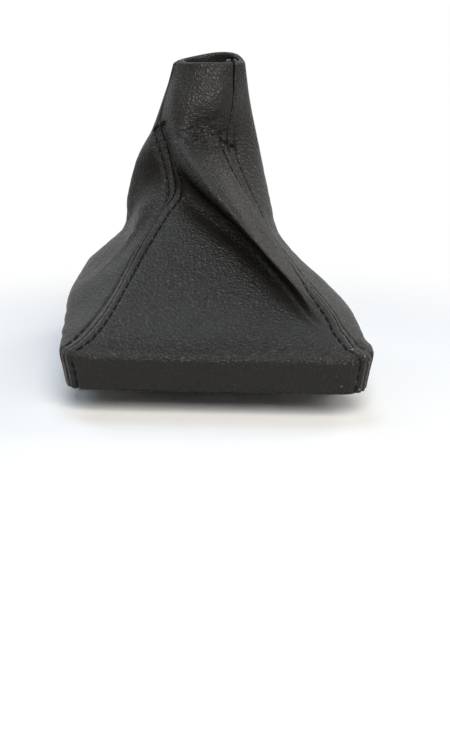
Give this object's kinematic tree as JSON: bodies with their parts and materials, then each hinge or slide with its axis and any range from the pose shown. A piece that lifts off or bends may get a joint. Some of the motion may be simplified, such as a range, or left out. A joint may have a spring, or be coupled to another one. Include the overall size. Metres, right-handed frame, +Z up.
{
  "type": "gear lever gaiter",
  "caption": "Black leathercloth gear lever gaiter with topstitched seams, folded sleeve and white plastic snap-in frame.",
  "frame": {"origin": "middle of the front rail, on the frame's seating face", "axes": "+Z up along the lever towards the neck, -Y towards the wide front rail, +X to the right seen from the front"},
  "size_m": [0.126, 0.1411, 0.1252],
  "materials": {
    "leathercloth": "pebble grain, semi-matt",
    "frame_plastic": "natural white moulding, satin",
    "thread": "twisted polyester thread, matt"
  },
  "bodies": {
    "root": {"frame": "frame_plastic", "front_panel": "leathercloth", "wrap_panel": "leathercloth", "left_stitch_row_front": "thread", "left_stitch_row_side": "thread", "right_stitch_row_front": "thread", "right_stitch_row_side": "thread", "left_bar_tack": "thread", "right_bar_tack": "thread"}
  },
  "joints": []
}
